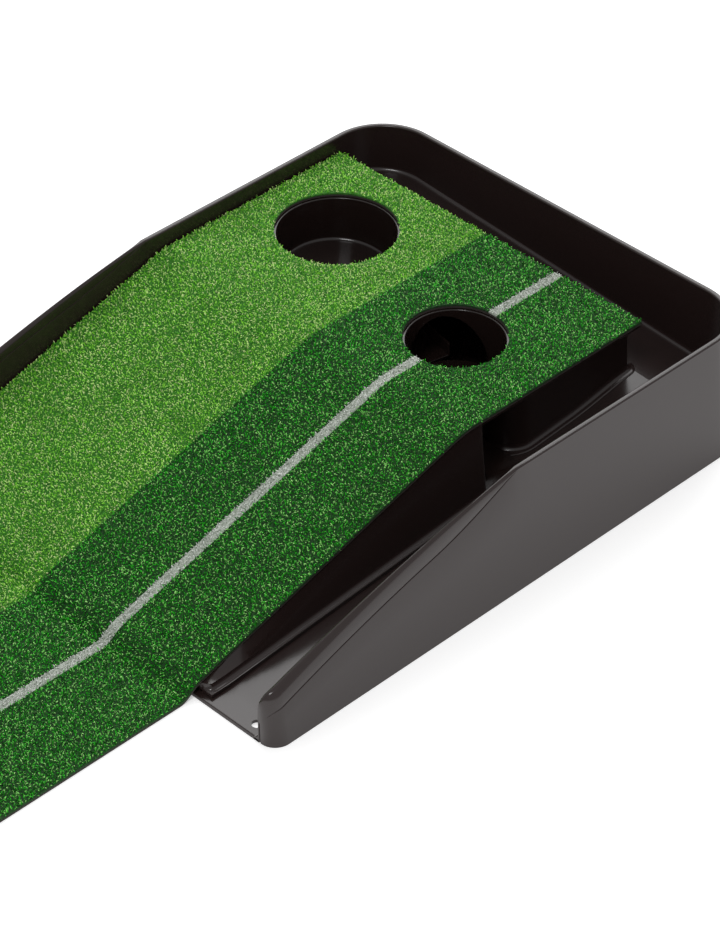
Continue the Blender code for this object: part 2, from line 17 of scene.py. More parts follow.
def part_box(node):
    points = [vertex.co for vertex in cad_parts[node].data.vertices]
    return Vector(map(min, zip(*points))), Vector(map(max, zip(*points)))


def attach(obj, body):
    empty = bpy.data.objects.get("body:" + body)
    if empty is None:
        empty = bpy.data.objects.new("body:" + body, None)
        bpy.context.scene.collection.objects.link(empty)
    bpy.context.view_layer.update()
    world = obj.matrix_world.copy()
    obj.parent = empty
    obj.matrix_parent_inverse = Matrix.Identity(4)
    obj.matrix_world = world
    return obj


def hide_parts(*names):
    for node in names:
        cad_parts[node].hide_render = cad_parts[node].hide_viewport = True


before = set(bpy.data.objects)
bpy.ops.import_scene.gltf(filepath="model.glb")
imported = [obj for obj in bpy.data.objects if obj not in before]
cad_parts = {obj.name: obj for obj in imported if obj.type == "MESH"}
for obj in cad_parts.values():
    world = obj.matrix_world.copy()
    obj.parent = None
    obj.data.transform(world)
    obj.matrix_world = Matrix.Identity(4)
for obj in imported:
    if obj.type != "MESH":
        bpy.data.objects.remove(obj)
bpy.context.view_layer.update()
MIX_SOCKETS = (6, 7, 2)  # a Mix node's two colour inputs and its colour output
log = logging.getLogger("putting_mat")


class Turf(Enum):
    """Kinds of turf, by the slot that their pieces fill."""

    FAST = "fast_turf"
    SLOW = "slow_turf"
    LINE = "aim_line"


# ------------------------------------------------------------------ mesh tools
def in_scene(name: str, data: bpy.types.ID) -> bpy.types.Object:
    """Link a new object with some data to the scene."""
    piece = bpy.data.objects.new(name, data)
    bpy.context.scene.collection.objects.link(piece)
    return piece


def grid_quads(rows: int, cols: int, wrap: bool = False) -> np.ndarray:
    """Corner indices of the quads of a grid of points.

    Args:
        rows: number of points along the first parameter.
        cols: number of points along the second parameter.
        wrap: whether the second parameter closes on itself.

    Returns:
        An array of shape (quads, 4).
    """
    across = cols if wrap else cols - 1
    i, j = np.meshgrid(np.arange(rows - 1), np.arange(across), indexing="ij")
    k = (j + 1) % cols
    quads = np.stack([i * cols + j, i * cols + k, (i + 1) * cols + k, (i + 1) * cols + j], axis=-1)
    return quads.reshape(-1, 4)


def make_piece(name: str, points: np.ndarray, faces: list, material: bpy.types.Material,
               crease: float = 32.0) -> bpy.types.Object:
    """Make a smooth-shaded object at the origin from points and faces.

    Args:
        name: the piece's name.
        points: array of shape (n, 3).
        faces: lists of point indices, counter-clockwise seen from outside.
        material: the finish.
        crease: edges sharper than this angle in degrees stay sharp.

    Returns:
        The new object.
    """
    mesh = bpy.data.meshes.new(name)
    mesh.from_pydata(points.tolist(), [], faces)
    mesh.materials.append(material)
    work = bmesh.new()
    work.from_mesh(mesh)
    bmesh.ops.remove_doubles(work, verts=work.verts, dist=1e-6)
    bmesh.ops.dissolve_degenerate(work, edges=work.edges, dist=1e-6)
    bmesh.ops.recalc_face_normals(work, faces=work.faces)
    work.to_mesh(mesh)
    work.free()
    mesh.shade_smooth()
    mesh.set_sharp_from_angle(angle=math.radians(crease))
    return in_scene(name, mesh)


def swept_tube(name: str, sections: np.ndarray, material: bpy.types.Material) -> bpy.types.Object:
    """A closed section carried along a path and capped at both ends.

    Args:
        name: the piece's name.
        sections: array of shape (stations, points, 3), each section a closed loop.
        material: the finish.

    Returns:
        The new object.
    """
    rows, cols = sections.shape[:2]
    faces = grid_quads(rows, cols, wrap=True).tolist()
    faces.append(list(range(cols))[::-1])
    faces.append([(rows - 1) * cols + i for i in range(cols)])
    return make_piece(name, sections.reshape(-1, 3), faces, material)


def slab(name: str, top: np.ndarray, bottom: np.ndarray, material: bpy.types.Material,
         crease: float = 32.0) -> bpy.types.Object:
    """A closed plate between an upper and a lower grid with the same shape.

    Args:
        name: the piece's name.
        top: array of shape (rows, cols, 3).
        bottom: array of the same shape.
        material: the finish.
        crease: edges sharper than this angle in degrees stay sharp.

    Returns:
        The new object.
    """
    rows, cols = top.shape[:2]
    upper = grid_quads(rows, cols)
    count = rows * cols
    faces = upper[:, ::-1].tolist() + (upper + count).tolist()
    index = np.arange(count).reshape(rows, cols)
    border = np.concatenate([index[0, :], index[1:, -1], index[-1, -2::-1], index[-2:0:-1, 0]])
    after = np.roll(border, -1)
    faces += np.stack([border, after, after + count, border + count], axis=-1).tolist()
    points = np.concatenate([top.reshape(-1, 3), bottom.reshape(-1, 3)])
    return make_piece(name, points, faces, material, crease)


def upright_drum(name: str, centre: tuple[float, float], radius: float, low: float, high: float,
                 sides: int = 96) -> bpy.types.Object:
    """A plain cylinder used to cut a hole."""
    work = bmesh.new()
    bmesh.ops.create_cone(work, cap_ends=True, segments=sides, radius1=radius, radius2=radius,
                          depth=high - low)
    bmesh.ops.translate(work, verts=work.verts, vec=(centre[0], centre[1], (low + high) / 2))
    mesh = bpy.data.meshes.new(name)
    work.to_mesh(mesh)
    work.free()
    return in_scene(name, mesh)


def evaluated_mesh(piece: bpy.types.Object) -> bpy.types.Mesh:
    """The mesh of a piece with its modifiers applied."""
    bpy.context.view_layer.update()
    depsgraph = bpy.context.evaluated_depsgraph_get()
    return bpy.data.meshes.new_from_object(piece.evaluated_get(depsgraph))


def cut(piece: bpy.types.Object, tool: bpy.types.Object, crease: float = 32.0) -> bpy.types.Object:
    """Cut a closed tool out of a piece, then remove the tool."""
    modifier = piece.modifiers.new("cut", "BOOLEAN")
    modifier.operation = "DIFFERENCE"
    modifier.solver = "EXACT"
    modifier.object = tool
    result = evaluated_mesh(piece)
    piece.modifiers.clear()
    old = piece.data
    piece.data = result
    result.name = old.name
    bpy.data.meshes.remove(old)
    bpy.data.objects.remove(tool, do_unlink=True)
    result.shade_smooth()
    result.set_sharp_from_angle(angle=math.radians(crease))
    return piece


def join(name: str, pieces: list[bpy.types.Object]) -> bpy.types.Object:
    """Put several closed bodies of one moulding into one object."""
    with bpy.context.temp_override(active_object=pieces[0], object=pieces[0], selected_objects=pieces,
                                   selected_editable_objects=pieces):
        bpy.ops.object.join()
    pieces[0].name = name
    pieces[0].data.name = name
    return pieces[0]


def softened_copy(node: str, name: str, material: bpy.types.Material, width: float,
                  steps: int = 3) -> bpy.types.Object:
    """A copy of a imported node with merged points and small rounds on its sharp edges.

    Args:
        node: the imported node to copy.
        name: the new piece's name.
        material: the finish.
        width: size of the rounds.
        steps: facets of each round.

    Returns:
        The new object, which stands for the node.
    """
    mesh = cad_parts[node].data.copy()
    mesh.name = name
    mesh.materials.clear()
    mesh.materials.append(material)
    work = bmesh.new()
    work.from_mesh(mesh)
    bmesh.ops.remove_doubles(work, verts=work.verts, dist=2e-6)
    bmesh.ops.dissolve_limit(work, angle_limit=math.radians(1.0), verts=work.verts, edges=work.edges)
    work.to_mesh(mesh)
    work.free()
    piece = in_scene(name, mesh)
    bevel = piece.modifiers.new("rounds", "BEVEL")
    bevel.width = width
    bevel.segments = steps
    bevel.limit_method = "ANGLE"
    bevel.angle_limit = math.radians(40)
    piece.data = evaluated_mesh(piece)
    piece.modifiers.clear()
    piece.data.shade_smooth()
    piece.data.set_sharp_from_angle(angle=math.radians(35))
    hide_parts(node)
    return piece


# ------------------------------------------------------------------ places
@dataclass
class Layout:
    """Places of the object's parts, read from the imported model."""

    rim_width: float = 0.005
    wall_lean: float = 0.0131
    cup_lip: float = 0.005
    backing: float = 0.0017
    pile: float = 0.0047
    seam: float = 0.0003
    slope: float = 0.288
    crest: float = 0.210
    crest_blend: float = 0.024
    nose: float = 0.499

    def __post_init__(self) -> None:
        """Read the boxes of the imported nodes."""
        tray_low, tray_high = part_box("tray")
        mat_low, mat_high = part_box("mat_backing")
        line_low, line_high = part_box("aim_line_front")
        self.left, self.right = mat_low.x, mat_high.x
        self.front_end, self.rear = mat_low.y, mat_high.y
        self.wall = self.rim_width + self.wall_lean
        self.inner_left, self.inner_right = tray_low.x + self.wall, tray_high.x - self.wall
        self.inner_rear = tray_high.y - self.wall
        self.front = tray_low.y
        self.rim_height = tray_high.z
        self.deck_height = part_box("cup_deck")[1].z
        self.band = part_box("fast_turf")[1].x + self.seam / 2
        self.line = (line_low.x, line_high.x)
        self.large = self.cup_place("large_cup")
        self.small = self.cup_place("small_cup")

    def cup_place(self, node: str) -> tuple[tuple[float, float], float]:
        """Centre and outer radius of a cup's wall, from its flange."""
        low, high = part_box(node)
        return ((low.x + high.x) / 2, (low.y + high.y) / 2), (high.x - low.x) / 2 - self.cup_lip

    def deck_line(self, y: np.ndarray, level: float) -> np.ndarray:
        """A line along the deck and the ramp: level, a parabola over the crest, an even slope.

        Args:
            y: stations.
            level: height of the line over the deck.

        Returns:
            The heights.
        """
        back = self.rear - y
        start = self.crest - self.crest_blend / 2
        run = np.clip(back - start, 0.0, self.crest_blend)
        drop = self.slope * run ** 2 / (2 * self.crest_blend)
        return level - drop - self.slope * np.clip(back - start - self.crest_blend, 0.0, None)


# ------------------------------------------------------------------ finishes
def new_group(name: str, inputs: list[tuple[str, str, object]], outputs: list[tuple[str, str]]) -> tuple:
    """Make an empty shader group with named sockets.

    Args:
        name: the group's name.
        inputs: (name, socket type, default) of each input.
        outputs: (name, socket type) of each output.

    Returns:
        The group, its input node and its output node.
    """
    group = bpy.data.node_groups.new(name, "ShaderNodeTree")
    for label, kind, default in inputs:
        socket = group.interface.new_socket(label, in_out="INPUT", socket_type=kind)
        socket.default_value = default
    for label, kind in outputs:
        group.interface.new_socket(label, in_out="OUTPUT", socket_type=kind)
    return group, group.nodes.new("NodeGroupInput"), group.nodes.new("NodeGroupOutput")


def add_node(tree: bpy.types.NodeTree, kind: str, values: dict | None = None,
             **settings: object) -> bpy.types.Node:
    """Add a shader node with its settings and the constants of its inputs."""
    node = tree.nodes.new("ShaderNode" + kind)
    for label, value in settings.items():
        setattr(node, label, value)
    for label, value in (values or {}).items():
        node.inputs[label].default_value = value
    return node


def wire(tree: bpy.types.NodeTree, *links: tuple[bpy.types.Node, object, bpy.types.Node, object]) -> None:
    """Link outputs to inputs, each given as (node, output, node, input)."""
    for source, output, target, entry in links:
        tree.links.new(source.outputs[output], target.inputs[entry])


def mould_grain_group() -> bpy.types.NodeTree:
    """Moulded plastic: fine grain, flow marks and rubbed patches, as a roughness and a height."""
    group, start, end = new_group(
        "mould_grain",
        [("Vector", "NodeSocketVector", (0, 0, 0)), ("Grain Scale", "NodeSocketFloat", 900.0),
         ("Low Roughness", "NodeSocketFloat", 0.2), ("High Roughness", "NodeSocketFloat", 0.35)],
        [("Roughness", "NodeSocketFloat"), ("Height", "NodeSocketFloat")])
    grain = add_node(group, "TexNoise", {"Detail": 2.0})
    flow = add_node(group, "TexNoise", {"Scale": 9.0, "Detail": 4.0})
    blend = add_node(group, "Math", {1: 0.35}, operation="MULTIPLY_ADD")
    spread = add_node(group, "MapRange", {"From Min": 0.45, "From Max": 0.9})
    wire(group, (start, "Vector", grain, "Vector"), (start, "Vector", flow, "Vector"),
         (start, "Grain Scale", grain, "Scale"), (grain, "Fac", blend, 0), (flow, "Fac", blend, 2),
         (blend, 0, spread, "Value"), (start, "Low Roughness", spread, "To Min"),
         (start, "High Roughness", spread, "To Max"), (spread, "Result", end, "Roughness"),
         (grain, "Fac", end, "Height"))
    return group


def fibre_tone_group() -> bpy.types.NodeTree:
    """Turf fibres: dark at the root as painted shade at the foot of the pile, and from dark over body to glint
    by each fibre's own tone.
    """
    group, start, end = new_group(
        "fibre_tone",
        [("Rise", "NodeSocketFloat", 1.0), ("Tone", "NodeSocketFloat", 0.5),
         ("Vector", "NodeSocketVector", (0, 0, 0)),
         ("Root", "NodeSocketColor", (0, 0, 0, 1)), ("Body", "NodeSocketColor", (0, 0, 0, 1)),
         ("Glint", "NodeSocketColor", (1, 1, 1, 1))],
        [("Color", "NodeSocketColor")])
    tint = add_node(group, "MapRange", {"From Min": 0.05, "From Max": 0.55})
    body = add_node(group, "Mix", data_type="RGBA")
    bright = add_node(group, "MapRange", {"From Min": 0.5, "From Max": 1.0})
    glint = add_node(group, "Mix", data_type="RGBA")
    # Painted shade: Rise blends each fibre from the Root colour at its foot to its own colour at the tip.
    tip = add_node(group, "Mix", data_type="RGBA")
    patch = add_node(group, "TexNoise", {"Scale": 28.0, "Detail": 3.0})
    wash = add_node(group, "MapRange", {"From Min": 0.3, "From Max": 0.7, "To Min": 0.86, "To Max": 1.12})
    scale = add_node(group, "VectorMath", operation="SCALE")
    first, second, mixed = MIX_SOCKETS
    wire(group, (start, "Tone", tint, "Value"), (start, "Tone", bright, "Value"),
         (tint, "Result", body, "Factor"), (start, "Root", body, first), (start, "Body", body, second),
         (bright, "Result", glint, "Factor"), (body, mixed, glint, first), (start, "Glint", glint, second),
         (start, "Rise", tip, "Factor"), (start, "Root", tip, first), (glint, mixed, tip, second),
         (start, "Vector", patch, "Vector"), (patch, "Fac", wash, "Value"),
         (tip, mixed, scale, 0), (wash, "Result", scale, "Scale"), (scale, "Vector", end, "Color"))
    return group


class Groups:
    """The shader groups that several finishes share, built once."""

    grain = mould_grain_group()
    fibre = fibre_tone_group()


def blank_material(name: str) -> tuple[bpy.types.Material, bpy.types.Node]:
    """A new material and its Principled shader."""
    material = bpy.data.materials.new(name)
    material.use_nodes = True
    return material, material.node_tree.nodes["Principled BSDF"]


@dataclass(frozen=True)
class MouldedPlastic:
    """Dark moulded plastic with a satin gloss."""

    name: str
    colour: tuple[float, float, float]
    low_roughness: float = 0.15
    high_roughness: float = 0.25
    grain_scale: float = 1400.0
    bump: float = 0.03

    def build(self) -> bpy.types.Material:
        """Make the material."""
        material, shader = blank_material(self.name)
        tree = material.node_tree
        shader.inputs["Base Color"].default_value = (*self.colour, 1.0)
        shader.inputs["IOR"].default_value = 1.5
        place = add_node(tree, "TexCoord")
        grain = tree.nodes.new("ShaderNodeGroup")
        grain.node_tree = Groups.grain
        grain.inputs["Grain Scale"].default_value = self.grain_scale
        grain.inputs["Low Roughness"].default_value = self.low_roughness
        grain.inputs["High Roughness"].default_value = self.high_roughness
        bump = add_node(tree, "Bump", {"Strength": self.bump, "Distance": 0.0002})
        wire(tree, (place, "Object", grain, "Vector"), (grain, "Roughness", shader, "Roughness"),
             (grain, "Height", bump, "Height"), (bump, "Normal", shader, "Normal"))
        return material


@dataclass(frozen=True)
class TurfFibre:
    """Short curled synthetic fibres."""

    name: str
    # root: painted shade at the foot of each fibre; it is also the darkest fibre tone.
    root: tuple[float, float, float]
    body: tuple[float, float, float]
    glint: tuple[float, float, float]
    roughness: float = 0.42
    specular: float = 0.12

    def build(self) -> bpy.types.Material:
        """Make the material, which reads each fibre's rise and tone from the mesh."""
        material, shader = blank_material(self.name)
        tree = material.node_tree
        place = add_node(tree, "TexCoord")
        rise = add_node(tree, "Attribute", attribute_name="rise")
        tone = add_node(tree, "Attribute", attribute_name="tone")
        fibre = tree.nodes.new("ShaderNodeGroup")
        fibre.node_tree = Groups.fibre
        for label, colour in (("Root", self.root), ("Body", self.body), ("Glint", self.glint)):
            fibre.inputs[label].default_value = (*colour, 1.0)
        shader.inputs["Roughness"].default_value = self.roughness
        shader.inputs["Specular IOR Level"].default_value = self.specular
        wire(tree, (place, "Object", fibre, "Vector"), (rise, "Fac", fibre, "Rise"),
             (tone, "Fac", fibre, "Tone"), (fibre, "Color", shader, "Base Color"))
        return material


@dataclass(frozen=True)
class WovenTextile:
    """Backing, tape or pile ground with a woven or knotted relief."""

    name: str
    low: tuple[float, float, float]
    high: tuple[float, float, float]
    scale: float = 900.0
    roughness: float = 0.9
    bump: float = 0.6

    def build(self) -> bpy.types.Material:
        """Make the material."""
        material, shader = blank_material(self.name)
        tree = material.node_tree
        first, second, mixed = MIX_SOCKETS
        place = add_node(tree, "TexCoord")
        knots = add_node(tree, "TexVoronoi", {"Scale": self.scale})
        tint = add_node(tree, "Mix", data_type="RGBA")
        tint.inputs[first].default_value = (*self.low, 1.0)
        tint.inputs[second].default_value = (*self.high, 1.0)
        bump = add_node(tree, "Bump", {"Strength": self.bump, "Distance": 0.0006})
        shader.inputs["Roughness"].default_value = self.roughness
        wire(tree, (place, "Object", knots, "Vector"), (knots, "Distance", tint, "Factor"),
             (knots, "Distance", bump, "Height"), (tint, mixed, shader, "Base Color"),
             (bump, "Normal", shader, "Normal"))
        return material


# ------------------------------------------------------------------ tray
@dataclass
class Tray:
    """One-piece tray: hollow walls round a catch basin, a ball channel and a flat sill."""

    at: Layout
    skin: float = 0.003
    corner_radius: float = 0.049
    nose_radius: float = 0.015
    nose_round: float = 0.008
    nose_height: float = 0.0465
    even_share: float = 0.62
    kink: float = 0.230
    foot_fillet: float = 0.0045
    level_drop: float = 0.0014
    swell_run: float = 0.35
    inner_swell: float = 0.0105
    outer_swell: float = 0.0140
    shelf: float = 0.0007
    ridge_share: float = 0.42
    edge_step: float = 0.0008
    hairline: float = 0.0001
    channel_rise: float = 0.0355
    sill_depth: float = 0.024
    basin_fall: float = 0.067
    blend_run: float = 0.075
    channel_left: float = 0.022
    peg_radius: float = 0.0045
    peg_inset: float = 0.013
    peg_setback: float = 0.011

    def floor_height(self, x: np.ndarray, y: np.ndarray) -> np.ndarray:
        """Floor of the channel and the basin.

        The channel rises evenly from the sill to the mat's rear edge. The basin falls to the
        right. A smooth step joins the two over the last stretch of the channel.
        """
        rear = self.at.rear
        sill = self.at.front + self.sill_depth
        rise = self.channel_rise * np.clip((y - sill) / (rear - sill), 0.0, 1.0)
        step = np.clip((y - rear + self.blend_run) / self.blend_run, 0.0, 1.0)
        share = step * step * (3.0 - 2.0 * step)
        return self.skin + rise + share * self.basin_fall * (self.at.inner_right - x)

    def rim(self, y: np.ndarray) -> np.ndarray:
        """Height of the side walls: level, then a gentle convex slope to the nose."""
        start = self.at.rear - self.kink
        run = np.clip((start - y) / (start - self.at.front), 0.0, 1.0)
        share = self.even_share * run + (1.0 - self.even_share) * run ** 2
        return self.at.rim_height - (self.at.rim_height - self.nose_height) * share

    def crown(self, y: np.ndarray) -> tuple[np.ndarray, np.ndarray, np.ndarray]:
        """Shape of the rounded crown along the side walls.

        Returns:
            The drops from the ridge to the inner and the outer crease, and the share of the
            crease's small shelf.
        """
        start = self.at.rear - self.kink
        run = np.clip((start - y) / (start - self.at.front), 0.0, 1.0)
        swell = np.sin(np.pi / 2 * np.clip(run / self.swell_run, 0.0, 1.0))
        inner = self.level_drop + self.inner_swell * swell * (1.0 - 0.45 * run)
        outer = self.level_drop + self.outer_swell * swell
        return inner, outer, np.clip(run / 0.02, 0.0, 1.0)

    def wall_path(self) -> tuple[np.ndarray, np.ndarray]:
        """Plan of the walls' inner face, from the right nose round the back to the left nose.

        Returns:
            Points and outward directions, both of shape (stations, 2).
        """
        at, radius = self.at, self.corner_radius
        turn = np.linspace(0.0, np.pi / 2, 13)
        nose = at.front + self.nose_radius * (1 - np.cos(turn))
        start = at.rear - self.kink
        slope = np.linspace(at.front + self.nose_radius, start, 26)[1:]
        level = np.linspace(start, at.inner_rear - radius, 16)[1:]
        side = np.concatenate([nose, slope, level])
        bend = np.linspace(0.0, np.pi / 2, 25)[1:-1]
        back = np.linspace(at.inner_right - radius, at.inner_left + radius, 30)
        right = np.stack([np.full_like(side, at.inner_right), side], axis=-1)
        arc_right = np.stack([at.inner_right - radius + radius * np.cos(bend),
                              at.inner_rear - radius + radius * np.sin(bend)], axis=-1)
        rear = np.stack([back, np.full_like(back, at.inner_rear)], axis=-1)
        arc_left = arc_right[::-1] * [-1, 1] + [at.inner_right + at.inner_left, 0]
        left = right[::-1] * [-1, 1] + [at.inner_right + at.inner_left, 0]
        points = np.concatenate([right, arc_right, rear, arc_left, left])
        ways = np.concatenate([np.tile([1.0, 0.0], (len(right), 1)),
                               np.stack([np.cos(bend), np.sin(bend)], axis=-1),
                               np.tile([0.0, 1.0], (len(rear), 1)),
                               np.stack([-np.cos(bend[::-1]), np.sin(bend[::-1])], axis=-1),
                               np.tile([-1.0, 0.0], (len(left), 1))])
        return points, ways

    def foot_height(self, points: np.ndarray) -> np.ndarray:
        """Floor height along the walls' inner face; under the deck on the left it is the low floor."""
        heights = self.floor_height(points[:, 0], points[:, 1])
        under_deck = (points[:, 0] < 0.0) & (points[:, 1] < self.at.rear)
        return np.where(under_deck, self.skin, heights)

    def wall_sections(self) -> np.ndarray:
        """Closed wall sections along the path.

        Each section goes up the inner face from a foot fillet, over a small round and an
        elliptical crown to the crease, down the leaning outer face to the ground and back up
        inside, one skin away.
        """
        points, ways = self.wall_path()
        foot = self.foot_height(points)
        y = points[:, 1]
        top = self.rim(y)
        inner_drop, outer_drop, share = self.crown(y)
        ahead = np.clip((y - self.at.front) / self.nose_radius, 0.0, 1.0)
        squeeze = 1.0 - (1.0 - np.sqrt(1.0 - (1.0 - ahead) ** 2)) * self.nose_radius / self.at.wall
        near = np.clip((y - self.at.front) / self.nose_round, 0.0, 1.0)
        top = top - self.nose_round * (1.0 - np.sqrt(1.0 - (1.0 - near) ** 2))

        def offset(z: np.ndarray) -> np.ndarray:
            """Distance of the outer face from the inner face at a height."""
            return self.at.rim_width + self.at.wall_lean * (1.0 - z / self.at.rim_height)

        out, rise = [], []
        for angle in np.linspace(-np.pi / 2, 0.0, 6):
            out.append(np.full_like(foot, self.foot_fillet * (np.cos(angle) - 1.0)))
            rise.append(foot + self.foot_fillet * (1.0 + np.sin(angle)))
        shelf = self.shelf * share
        crease = offset(top - outer_drop)
        ridge = self.ridge_share * crease
        out.append(np.zeros_like(foot))
        rise.append(top - inner_drop - self.edge_step)
        out.append(0.3 * shelf)
        rise.append(top - inner_drop - self.hairline)
        for angle in np.linspace(0.0, np.pi / 2, 9):
            out.append(shelf + (ridge - shelf) * (1.0 - np.cos(angle)))
            rise.append(top - inner_drop * (1.0 - np.sin(angle)))
        for angle in np.linspace(0.0, np.pi / 2, 11)[1:]:
            out.append(ridge + (crease - shelf - ridge) * np.sin(angle))
            rise.append(top - outer_drop * (1.0 - np.cos(angle)))
        out.append(crease - 0.3 * shelf)
        rise.append(top - outer_drop - self.hairline)
        for part in (0.0, 0.35, 0.7, 1.0):
            level = (top - outer_drop - self.edge_step) * (1.0 - part)
            out.append(offset(level))
            rise.append(level)
        out.append(offset(np.zeros_like(foot)) - self.skin)
        rise.append(np.zeros_like(foot))
        ceiling = top - np.maximum(outer_drop, inner_drop) - self.skin
        under = np.maximum(foot - self.skin, 0.0)
        out += [np.maximum(crease - self.skin, self.skin + 0.0004), np.full_like(foot, self.skin),
                np.full_like(foot, self.skin), np.full_like(foot, -self.foot_fillet)]
        rise += [ceiling, ceiling, under, under]
        out, rise = np.stack(out, axis=1), np.stack(rise, axis=1)
        out = np.where(out > 0, out * squeeze[:, None], out)
        plan = points[:, None, :] + ways[:, None, :] * out[..., None]
        return np.concatenate([plan, rise[..., None]], axis=-1)

    def channel_top(self) -> np.ndarray:
        """Upper surface of the sill and the channel, with a rounded front edge."""
        at = self.at
        soft = np.array([0.0, 0.0003, 0.0010])
        rows = np.concatenate([at.front + soft, np.linspace(at.front + 0.002, at.front + self.sill_depth, 8),
                               np.linspace(at.front + self.sill_depth, at.rear, 70)[1:]])
        cols = np.linspace(at.right - self.channel_left, at.inner_right + 0.001, 26)
        x, y = np.meshgrid(cols, rows)
        z = self.floor_height(x, y)
        z[:3] -= np.array([0.0010, 0.0003, 0.0])[:, None]
        return np.stack([x, y, z], axis=-1)

    def basin_top(self) -> np.ndarray:
        """Upper surface of the catch basin, with its rounded rear corners."""
        at, radius = self.at, self.corner_radius
        rows = np.concatenate([np.linspace(at.rear, at.inner_rear - radius, 6)[:-1],
                               at.inner_rear - radius + radius * np.sin(np.linspace(0, np.pi / 2, 24))])
        ahead = np.clip(rows - (at.inner_rear - radius), 0.0, radius)
        pull = radius - np.sqrt(np.maximum(radius ** 2 - ahead ** 2, 0.0)) - 0.001
        share = np.linspace(0.0, 1.0, 60)
        low, high = at.inner_left + pull, at.inner_right - pull
        x = low[:, None] + (high - low)[:, None] * share
        y = np.repeat(rows[:, None], len(share), axis=1)
        return np.stack([x, y, self.floor_height(x, y)], axis=-1)

    def build(self, material: bpy.types.Material) -> bpy.types.Object:
        """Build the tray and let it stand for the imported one."""
        at = self.at
        wall = swept_tube("tray_wall", self.wall_sections(), material)
        top = self.channel_top()
        channel = slab("tray_channel", top, top - [0, 0, self.skin - 0.0002], material)
        peg = (at.inner_right - self.peg_inset, at.front + self.peg_setback)
        cut(channel, upright_drum("peg_hole", peg, self.peg_radius, -0.02, 0.03, 32))
        top = self.basin_top()
        basin = slab("tray_basin", top, top - [0, 0, self.skin], material)
        cols = np.array([at.inner_left - 0.001, at.right - self.channel_left + 0.001])
        x, y = np.meshgrid(cols, np.array([at.front, at.rear]))
        low = slab("tray_low_floor", np.stack([x, y, np.full_like(x, self.skin)], axis=-1),
                   np.stack([x, y, np.zeros_like(x)], axis=-1), material)
        steps = [self.step_panel(material, True), self.step_panel(material, False)]
        tray = join("tray_moulding", [wall, channel, basin, low] + steps)
        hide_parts("tray")
        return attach(tray, "tray")

    def step_panel(self, material: bpy.types.Material, basin: bool) -> bpy.types.Object:
        """Upright panel that closes the step from the low floor to the basin or the channel."""
        at = self.at
        if basin:
            along = np.linspace(at.inner_left, at.right - self.channel_left, 12)
            plan = np.stack([along, np.full_like(along, at.rear)], axis=-1)
            back = np.array([0.0, self.skin])
        else:
            along = np.linspace(at.front + self.sill_depth, at.rear, 30)
            plan = np.stack([np.full_like(along, at.right - self.channel_left), along], axis=-1)
            back = np.array([self.skin, 0.0])
        height = self.floor_height(plan[:, 0], plan[:, 1]) - 0.0004
        face = [np.column_stack([plan, np.full(len(plan), 0.0)]), np.column_stack([plan, height])]
        near = np.stack(face)
        return slab("tray_step", near, near + [*back, 0.0], material)


# ------------------------------------------------------------------ cups
@dataclass
class Cup:
    """Cup liner with a rounded lip, a sloping floor with a fillet, and ball mouths."""

    name: str
    node: str
    centre: tuple[float, float]
    radius: float
    top: float
    floor: float
    fall: float
    facing: float
    wall: float = 0.002
    lip: float = 0.005
    fillet: float = 0.0032
    sides: int = 120

    def floor_at(self, x: np.ndarray, y: np.ndarray) -> np.ndarray:
        """Floor height, which falls evenly in one plan direction."""
        ux, uy = math.cos(math.radians(self.facing)), math.sin(math.radians(self.facing))
        return self.floor - self.fall * ((x - self.centre[0]) * ux + (y - self.centre[1]) * uy)

    def surface(self) -> np.ndarray:
        """Turned skin: floor, fillet, wall, rounded lip, flange and back down outside.

        A profile of radius, height above the floor or below the top, turned about the axis.
        """
        inner = self.radius - self.wall
        profile = [(0.0004, 0.0, True)]
        profile += [(r, 0.0, True) for r in np.linspace(0.2, 0.9, 4) * inner]
        for angle in np.linspace(-np.pi / 2, 0.0, 7):
            profile.append((inner - self.fillet + self.fillet * math.cos(angle),
                            self.fillet * (1.0 + math.sin(angle)), True))
        soft = 0.0009
        for angle in np.linspace(np.pi, np.pi / 2, 5):
            profile.append((inner + soft * (1.0 + math.cos(angle)), -soft * (1.0 - math.sin(angle)), False))
        profile += [(self.radius + self.lip - 0.0004, 0.0, False), (self.radius + self.lip, -0.0004, False),
                    (self.radius + self.lip, -0.0011, False), (self.radius, -0.0012, False),
                    (self.radius, -0.003, False), (self.radius, -self.wall, True), (0.0004, -self.wall, True)]
        radius = np.array([p[0] for p in profile])[:, None]
        height = np.array([p[1] for p in profile])[:, None]
        low = np.array([p[2] for p in profile])[:, None]
        angle = np.linspace(0.0, 2 * np.pi, self.sides, endpoint=False)[None, :]
        x = self.centre[0] + radius * np.cos(angle)
        y = self.centre[1] + radius * np.sin(angle)
        z = np.where(low, self.floor_at(x, y) + height, self.top + height)
        return np.stack([x, y, z], axis=-1)

    def build(self, material: bpy.types.Material, mouths: list[bpy.types.Object]) -> bpy.types.Object:
        """Build the cup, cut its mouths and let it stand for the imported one."""
        cup = swept_tube(self.name, self.surface(), material)
        for mouth in mouths:
            cut(cup, mouth)
        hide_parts(self.node)
        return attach(cup, "deck")


